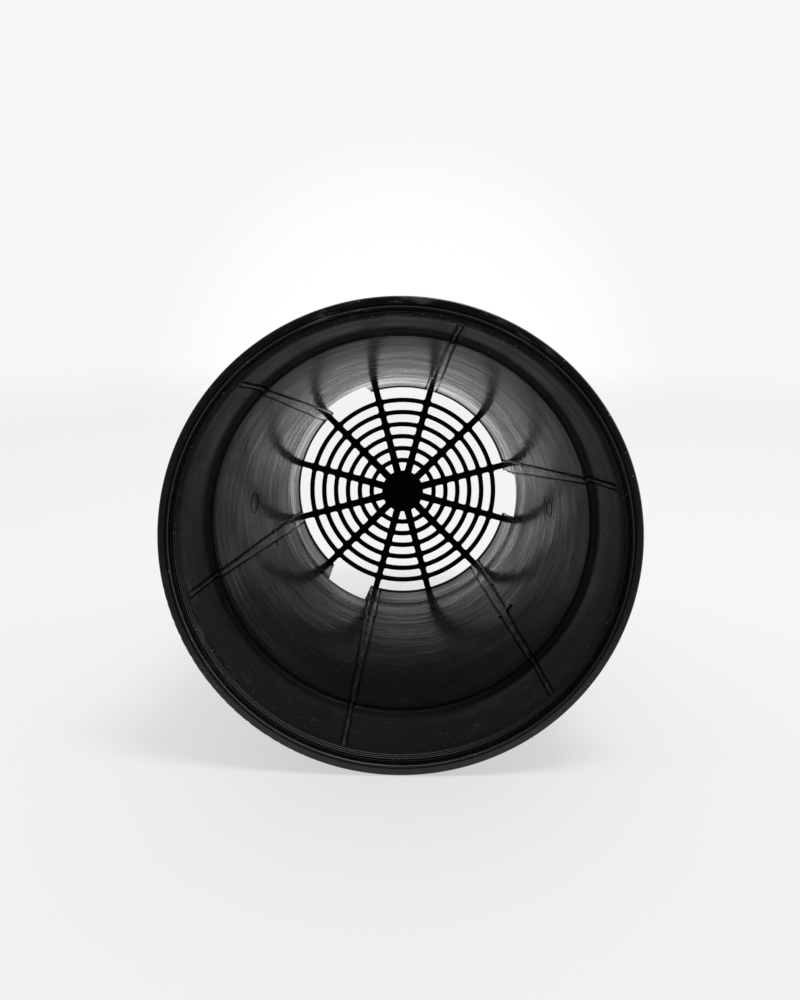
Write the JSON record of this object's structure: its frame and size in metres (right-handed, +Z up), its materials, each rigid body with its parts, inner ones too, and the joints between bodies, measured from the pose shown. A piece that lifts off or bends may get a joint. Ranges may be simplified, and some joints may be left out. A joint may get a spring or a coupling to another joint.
{
  "type": "plant pot",
  "caption": "Round black plastic nursery pot with an open web base, drainage notches in the foot, a stepped shoulder and a flat rim with a skirt.",
  "frame": {"origin": "centre of the circle that the foot stands on, at the underside of the foot", "axes": "+Z up along the pot's axis to the mouth, +X through the middle of one drainage notch"},
  "size_m": [0.15, 0.15, 0.145],
  "materials": {
    "wall_plastic": "semi-gloss black polypropylene, finely turned round the axis",
    "band_plastic": "satin black polypropylene with light scuffs",
    "rim_plastic": "satin black polypropylene, scuffed along its edges",
    "web_plastic": "matt black polypropylene"
  },
  "bodies": {
    "root": {"drain_grille": "web_plastic", "foot_arc_1": "wall_plastic", "foot_arc_2": "wall_plastic", "foot_arc_3": "wall_plastic", "base_band": "wall_plastic", "lower_wall": "wall_plastic", "shoulder_ring": "band_plastic", "upper_wall": "band_plastic", "stacking_ring": "band_plastic", "rim_collar": "rim_plastic"}
  },
  "joints": []
}
